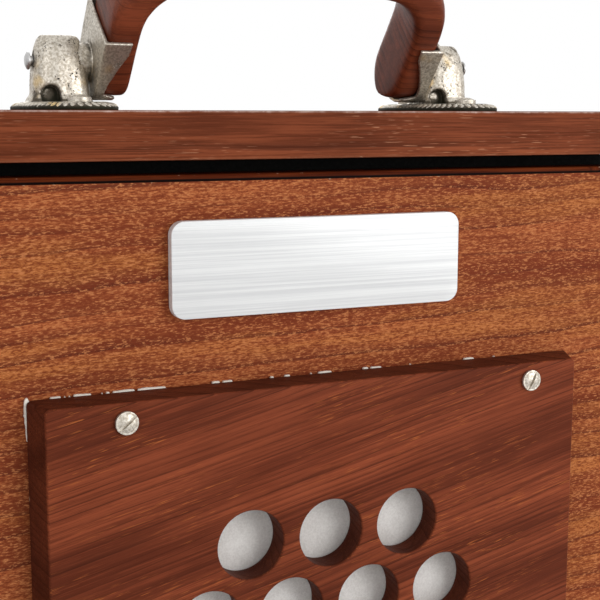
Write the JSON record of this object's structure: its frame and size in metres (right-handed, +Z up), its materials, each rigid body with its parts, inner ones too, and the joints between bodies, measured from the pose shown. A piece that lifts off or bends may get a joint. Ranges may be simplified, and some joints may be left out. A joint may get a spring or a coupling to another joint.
{
  "type": "shruti box",
  "caption": "Hand-pumped reed drone in a flat upright wooden case, with a hinged pump board, raised valve board, tone levers on the rear and a folding bow handle.",
  "frame": {"origin": "centre of the underside of the bottom plank", "axes": "+Z up, +X to the right seen from the front, +Y to the back; the pump board and its valve board face -Y and the levers face +Y"},
  "size_m": [0.232, 0.0897, 0.362],
  "materials": {
    "case_wood": "red-brown close-grained wood with a satin varnish",
    "dark_wood": "dark redwood, satin varnish, orange flecks along the grain",
    "lever_wood": "dark polished wood with a pale turned knob",
    "veneer": "orange-brown veneer with wavy dark grain, semi-gloss lacquer",
    "plywood": "bare birch plywood",
    "suede": "grey-white suede, napped",
    "leather": "thin pale sheepskin",
    "bellows_cloth": "black rexine-covered card, pleated",
    "plate_metal": "silver-white, brushed along its length, dark core at the edge",
    "nickel": "cast and nickel plated, pitted, darkened in the hollows",
    "screw_metal": "nickel-plated slotted screws, slightly dulled",
    "brass": "plain rolled brass",
    "steel": "drawn steel"
  },
  "bodies": {
    "case": {"bottom_plank": "case_wood", "top_plank": "case_wood", "side_wall_left": "case_wood", "side_wall_right": "case_wood", "hinge_rail": "case_wood", "channel_bar": "case_wood", "reed_board": "case_wood", "valve_partition": "plywood", "check_flap": "leather", "reservoir_bellows": "leather", "pump_bellows": "bellows_cloth", "bracket_left": "nickel", "bracket_right": "nickel", "handle_pin_left": "steel", "handle_pin_right": "steel", "hinge_pin_left": "steel", "hinge_pin_right": "steel", "reservoir_spring_left": "steel", "reservoir_spring_right": "steel", "reed_plate_left": "brass", "reed_plate_right": "brass", "hinge_leaf_fixed_left": "brass", "hinge_leaf_fixed_right": "brass", "bracket_screw_1": "screw_metal", "bracket_screw_2": "screw_metal", "bracket_screw_3": "screw_metal", "bracket_screw_4": "screw_metal"},
    "pump": {"pump_frame": "case_wood", "front_panel": "veneer", "valve_board": "dark_wood", "valve_gasket": "suede", "inlet_flap": "suede", "name_plate": "plate_metal", "hinge_leaf_moving_left": "brass", "hinge_leaf_moving_right": "brass", "valve_screw_1": "screw_metal", "valve_screw_2": "screw_metal", "valve_screw_3": "screw_metal", "valve_screw_4": "screw_metal"},
    "handle": {"handle_grip": "dark_wood", "ferrule_left": "nickel", "ferrule_right": "nickel"},
    "reservoir": {"reservoir_board": "plywood"},
    "tone_01": {"lever_01": "lever_wood"},
    "tone_02": {"lever_02": "lever_wood"},
    "tone_03": {"lever_03": "lever_wood"},
    "tone_04": {"lever_04": "lever_wood"},
    "tone_05": {"lever_05": "lever_wood"},
    "tone_06": {"lever_06": "lever_wood"},
    "tone_07": {"lever_07": "lever_wood"},
    "tone_08": {"lever_08": "lever_wood"},
    "tone_09": {"lever_09": "lever_wood"},
    "tone_10": {"lever_10": "lever_wood"},
    "tone_11": {"lever_11": "lever_wood"},
    "tone_12": {"lever_12": "lever_wood"},
    "tone_13": {"lever_13": "lever_wood"}
  },
  "joints": [
    {"name": "pump_swing", "type": "hinge", "parent": "case", "child": "pump", "pos_m": [0, -0.01945, 0.0171], "axis": [1, 0, 0], "range_deg": [0, 18], "deforming": ["pump_bellows"]},
    {"name": "handle_fold", "type": "hinge", "parent": "case", "child": "handle", "pos_m": [0, 0.0025, 0.3252], "axis": [1, 0, 0], "range_deg": [-128, 48]},
    {"name": "reservoir_lift", "type": "hinge", "parent": "case", "child": "reservoir", "pos_m": [0, 0.0178, 0.0205], "axis": [1, 0, 0], "range_deg": [0, 2.8], "stiffness_Nm_per_rad": 1.5, "springref_deg": -8.59, "deforming": ["reservoir_bellows", "reservoir_spring_left", "reservoir_spring_right"]},
    {"name": "tone_01_turn", "type": "hinge", "parent": "case", "child": "tone_01", "pos_m": [-0.044, 0.03, 0.038], "axis": [0, 1, 0], "range_deg": [0, 38]},
    {"name": "tone_02_turn", "type": "hinge", "parent": "case", "child": "tone_02", "pos_m": [-0.044, 0.03, 0.07167], "axis": [0, 1, 0], "range_deg": [0, 38]},
    {"name": "tone_03_turn", "type": "hinge", "parent": "case", "child": "tone_03", "pos_m": [-0.044, 0.03, 0.10533], "axis": [0, 1, 0], "range_deg": [0, 38]},
    {"name": "tone_04_turn", "type": "hinge", "parent": "case", "child": "tone_04", "pos_m": [-0.044, 0.03, 0.139], "axis": [0, 1, 0], "range_deg": [0, 38]},
    {"name": "tone_05_turn", "type": "hinge", "parent": "case", "child": "tone_05", "pos_m": [-0.044, 0.03, 0.17267], "axis": [0, 1, 0], "range_deg": [0, 38]},
    {"name": "tone_06_turn", "type": "hinge", "parent": "case", "child": "tone_06", "pos_m": [-0.044, 0.03, 0.20633], "axis": [0, 1, 0], "range_deg": [0, 38]},
    {"name": "tone_07_turn", "type": "hinge", "parent": "case", "child": "tone_07", "pos_m": [-0.044, 0.03, 0.24], "axis": [0, 1, 0], "range_deg": [0, 38]},
    {"name": "tone_08_turn", "type": "hinge", "parent": "case", "child": "tone_08", "pos_m": [0.044, 0.03, 0.05483], "axis": [0, 1, 0], "range_deg": [-38, 0]},
    {"name": "tone_09_turn", "type": "hinge", "parent": "case", "child": "tone_09", "pos_m": [0.044, 0.03, 0.0885], "axis": [0, 1, 0], "range_deg": [-38, 0]},
    {"name": "tone_10_turn", "type": "hinge", "parent": "case", "child": "tone_10", "pos_m": [0.044, 0.03, 0.12217], "axis": [0, 1, 0], "range_deg": [-38, 0]},
    {"name": "tone_11_turn", "type": "hinge", "parent": "case", "child": "tone_11", "pos_m": [0.044, 0.03, 0.15583], "axis": [0, 1, 0], "range_deg": [-38, 0]},
    {"name": "tone_12_turn", "type": "hinge", "parent": "case", "child": "tone_12", "pos_m": [0.044, 0.03, 0.1895], "axis": [0, 1, 0], "range_deg": [-38, 0]},
    {"name": "tone_13_turn", "type": "hinge", "parent": "case", "child": "tone_13", "pos_m": [0.044, 0.03, 0.22317], "axis": [0, 1, 0], "range_deg": [-38, 0]}
  ]
}
